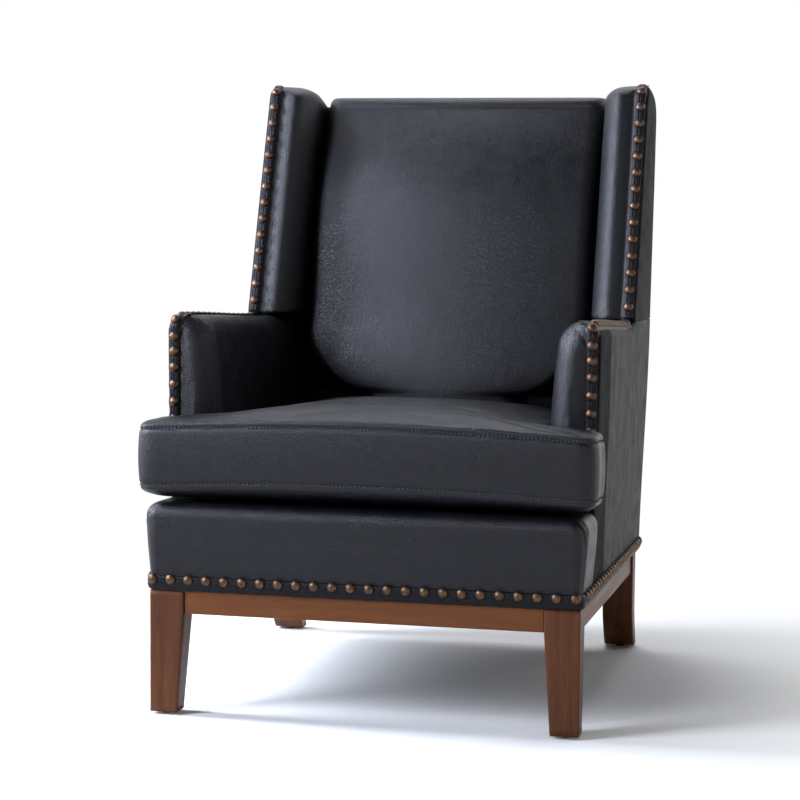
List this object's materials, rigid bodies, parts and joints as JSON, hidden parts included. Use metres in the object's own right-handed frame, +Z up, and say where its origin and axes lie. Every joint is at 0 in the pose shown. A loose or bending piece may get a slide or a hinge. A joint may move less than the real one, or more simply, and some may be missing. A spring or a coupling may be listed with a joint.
{
  "type": "wingback armchair",
  "caption": "Upholstered wingback armchair in dark leather with nailhead trim, a loose T-shaped seat cushion and a walnut-stained base with swept back legs.",
  "frame": {"origin": "on the floor under the middle of the chair's overall box", "axes": "+Z up, -Y the way the sitter faces (the front), +X to the right as seen from the front"},
  "size_m": [0.742, 0.86, 1.026],
  "materials": {
    "leather": "satin",
    "nail_trim": "satin",
    "antique_nails": "satin",
    "walnut_leg": "satin",
    "walnut_rail": "satin",
    "frame_wood": "matte",
    "steel": "satin",
    "black_cloth": "matte",
    "foam": "matte",
    "glide_plastic": "satin"
  },
  "bodies": {
    "chair": {"front_leg_right": "walnut_leg", "front_leg_left": "walnut_leg", "back_leg_right": "walnut_leg", "back_leg_left": "walnut_leg", "glide_front_right": "glide_plastic", "glide_front_left": "glide_plastic", "glide_back_right": "glide_plastic", "glide_back_left": "glide_plastic", "base_rail_front": "walnut_rail", "base_rail_back": "walnut_rail", "base_rail_right": "walnut_rail", "base_rail_left": "walnut_rail", "corner_block_front_right": "frame_wood", "corner_block_front_left": "frame_wood", "corner_block_back_right": "frame_wood", "corner_block_back_left": "frame_wood", "leg_bolt_front_right": "steel", "leg_bolt_front_left": "steel", "leg_bolt_back_right": "steel", "leg_bolt_back_left": "steel", "seat_rail_front": "frame_wood", "seat_rail_back": "frame_wood", "seat_rail_right": "frame_wood", "seat_rail_left": "frame_wood", "seat_spring_1": "steel", "seat_spring_2": "steel", "seat_spring_3": "steel", "seat_spring_4": "steel", "seat_spring_5": "steel", "deck_pad": "black_cloth", "dust_cover": "black_cloth", "front_border": "leather", "arm_frame_right": "frame_wood", "arm_frame_left": "frame_wood", "arm_pad_right": "leather", "arm_pad_left": "leather", "outside_arm_panel_right": "leather", "outside_arm_panel_left": "leather", "wing_frame_right": "frame_wood", "wing_frame_left": "frame_wood", "wing_pad_right": "leather", "wing_pad_left": "leather", "outside_wing_panel_right": "leather", "outside_wing_panel_left": "leather", "back_post_right": "frame_wood", "back_post_left": "frame_wood", "back_top_rail": "frame_wood", "back_lower_rail": "frame_wood", "back_webbing_1": "black_cloth", "back_webbing_2": "black_cloth", "back_webbing_3": "black_cloth", "inside_back_pad": "leather", "outside_back_panel": "leather", "base_nail_band": "nail_trim", "arm_nail_band_right": "nail_trim", "arm_nail_band_left": "nail_trim", "wing_nail_band_right": "nail_trim", "wing_nail_band_left": "nail_trim"},
    "cushion": {"seat_cushion_cover": "leather", "seat_cushion_core": "foam"}
  },
  "joints": [
    {"name": "cushion_lift", "type": "slide", "parent": "chair", "child": "cushion", "axis": [0, 0, 1], "range_m": [0, 0.3]}
  ]
}
